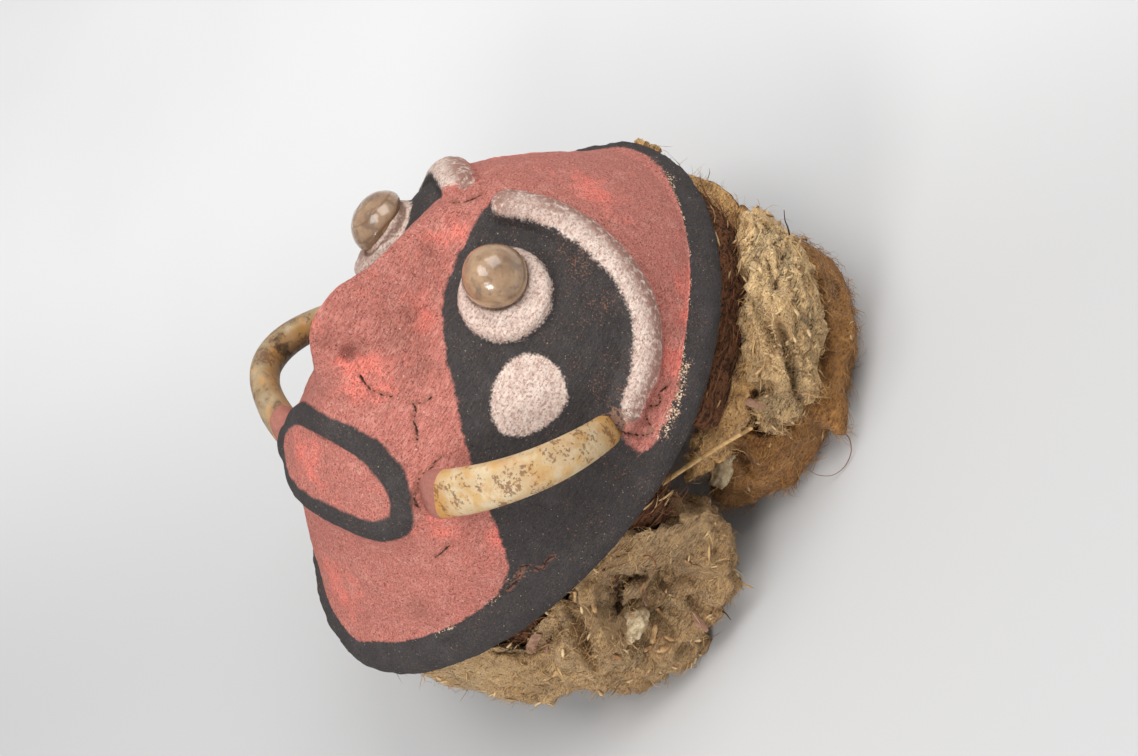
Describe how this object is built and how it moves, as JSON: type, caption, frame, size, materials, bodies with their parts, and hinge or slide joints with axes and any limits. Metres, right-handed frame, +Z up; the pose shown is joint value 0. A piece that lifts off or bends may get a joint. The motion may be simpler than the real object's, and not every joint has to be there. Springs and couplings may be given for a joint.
{
  "type": "spirit mask with tusks and felt hood remains",
  "caption": "Painted paste spirit mask in red, black and white, with sea snail shell eyes, boar tusks beside the mouth and wads of brown web felt behind the rim.",
  "frame": {"origin": "middle of the footprint, on the surface that the mask lies on", "axes": "+Z up and out of the face, +Y from the chin to the forehead, +X to the mask's own left"},
  "size_m": [0.2184, 0.2698, 0.2197],
  "materials": {
    "painted_paste": "matt painted paste",
    "snail_shell": "glossy shell",
    "ivory": "worn satin tusk",
    "rust_fibre": "matted bark fibre",
    "cane": "dry split cane",
    "tan_felt": "matted web felt",
    "brown_felt": "matted web felt"
  },
  "bodies": {
    "root": {"face": "painted_paste", "left_eye_shell": "snail_shell", "right_eye_shell": "snail_shell", "left_tusk": "ivory", "right_tusk": "ivory", "fibre_collar": "rust_fibre", "cane_strip": "cane", "upper_felt_pad": "tan_felt", "folded_felt": "brown_felt", "lower_felt": "tan_felt", "right_upper_felt": "brown_felt", "right_lower_felt": "tan_felt"}
  },
  "joints": []
}
